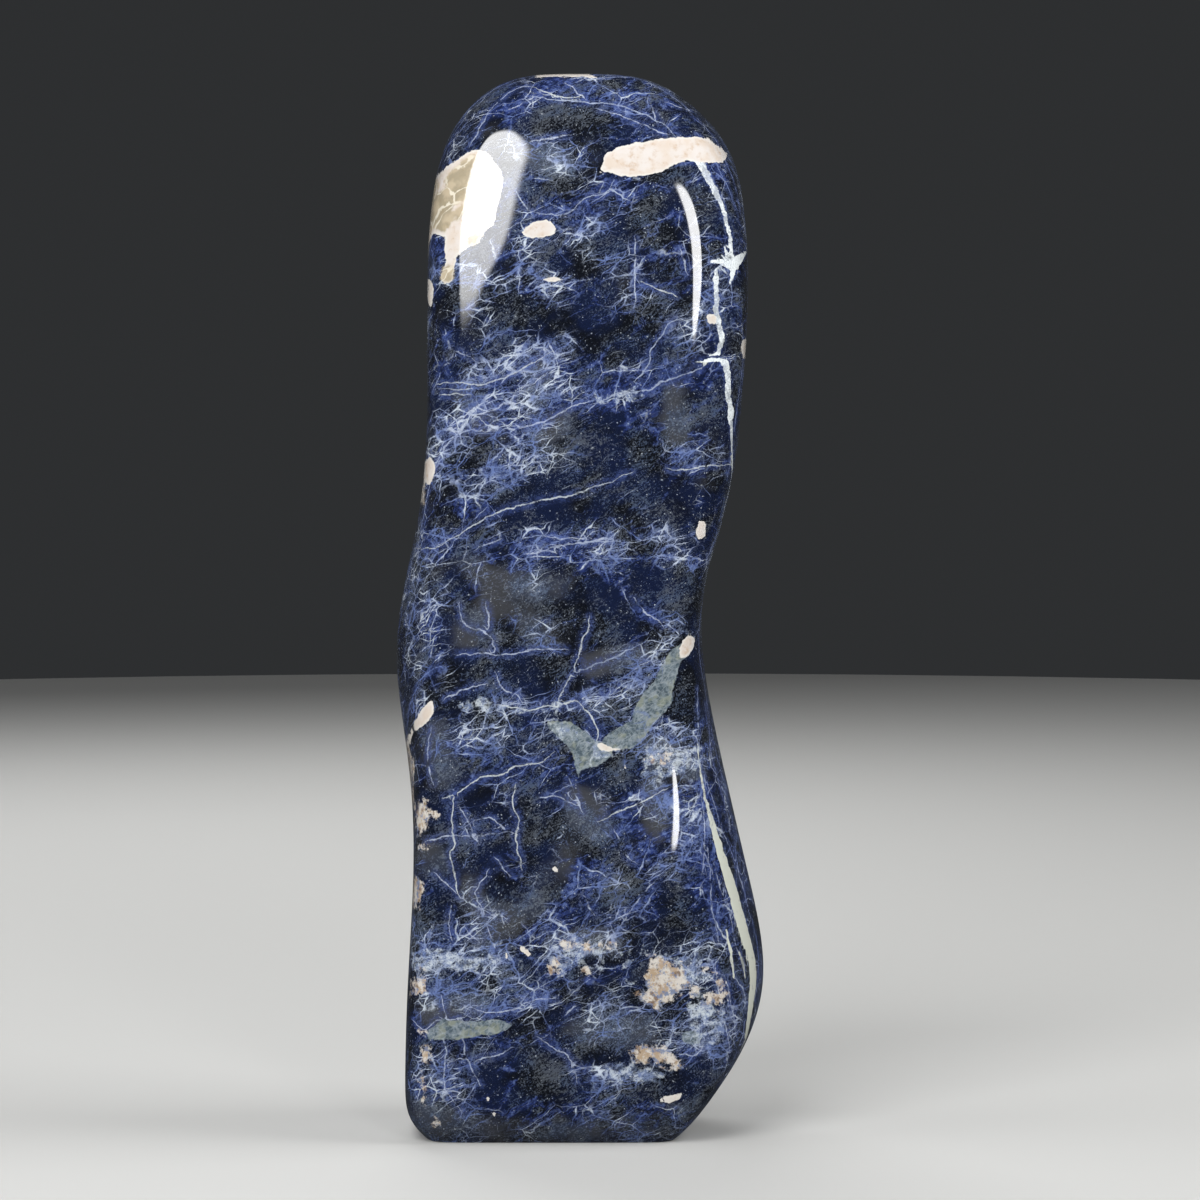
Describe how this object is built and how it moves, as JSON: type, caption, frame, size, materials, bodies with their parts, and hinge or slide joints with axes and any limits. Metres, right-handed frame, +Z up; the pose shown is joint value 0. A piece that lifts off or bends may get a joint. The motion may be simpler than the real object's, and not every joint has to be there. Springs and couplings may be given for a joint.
{
  "type": "polished sodalite freeform",
  "caption": "Tall standing stone of dark blue sodalite, polished all over, with a flat front, a domed top, a leaning waist and a base ground flat to stand on.",
  "frame": {"origin": "middle of the stone's box, on the flat base that it stands on", "axes": "+Z up the stone, +X to the right and -Y towards the viewer when its flat front is faced"},
  "size_m": [0.105, 0.0752, 0.3001],
  "materials": {
    "polished_sodalite": "polished"
  },
  "bodies": {
    "root": {"sodalite": "polished_sodalite"}
  },
  "joints": []
}
